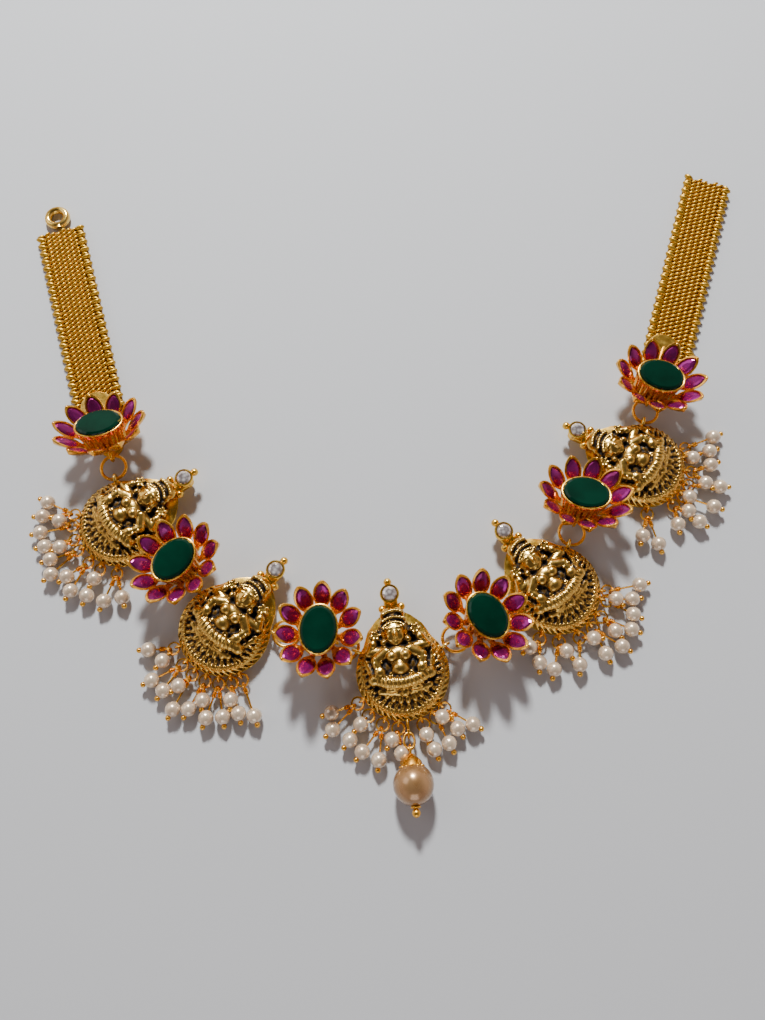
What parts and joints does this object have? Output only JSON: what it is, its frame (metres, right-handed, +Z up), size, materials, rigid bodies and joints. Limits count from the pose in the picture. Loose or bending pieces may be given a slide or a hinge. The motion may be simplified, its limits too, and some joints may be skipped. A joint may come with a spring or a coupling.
{
  "type": "temple jewellery necklace",
  "caption": "Gold temple necklace laid open: ruby and emerald lotus flowers alternate with cast goddess pendants fringed with pearls, with a woven band at each end.",
  "frame": {"origin": "under the middle of the necklace as it lies, on the table", "axes": "+X across the necklace from the left band to the right, +Y from the big drop pearl towards the free ends, +Z up from the table"},
  "size_m": [0.163, 0.1418, 0.0121],
  "materials": {
    "gold": "polished",
    "antique_gold": "antiqued cast relief",
    "woven_gold": "woven wire",
    "emerald": "polished",
    "diamond": "polished",
    "pearl": "pearl lustre"
  },
  "bodies": {
    "root": {"flower_1": "gold", "emerald_1": "emerald", "flower_2": "gold", "emerald_2": "emerald", "flower_3": "gold", "emerald_3": "emerald", "flower_4": "gold", "emerald_4": "emerald", "flower_5": "gold", "emerald_5": "emerald", "flower_6": "gold", "emerald_6": "emerald", "pendant_1": "antique_gold", "diamond_1": "diamond", "pendant_2": "antique_gold", "diamond_2": "diamond", "pendant_3": "antique_gold", "diamond_3": "diamond", "pendant_4": "antique_gold", "diamond_4": "diamond", "pendant_5": "antique_gold", "diamond_5": "diamond", "link_1_to_flower_1": "gold", "link_1_to_flower_2": "gold", "link_2_to_flower_2": "gold", "link_2_to_flower_3": "gold", "link_3_to_flower_3": "gold", "link_3_to_flower_4": "gold", "link_4_to_flower_4": "gold", "link_4_to_flower_5": "gold", "link_5_to_flower_5": "gold", "link_5_to_flower_6": "gold", "pearl_fringe_1": "pearl", "pearl_fringe_2": "pearl", "pearl_fringe_3_left": "pearl", "pearl_fringe_3_right": "pearl", "pearl_fringe_4": "pearl", "pearl_fringe_5": "pearl", "drop_link_upper": "gold", "drop_link_lower": "gold", "drop_pin": "gold", "drop_pearl": "pearl", "band_left": "woven_gold", "band_right": "woven_gold", "clasp_eye": "gold"}
  },
  "joints": []
}
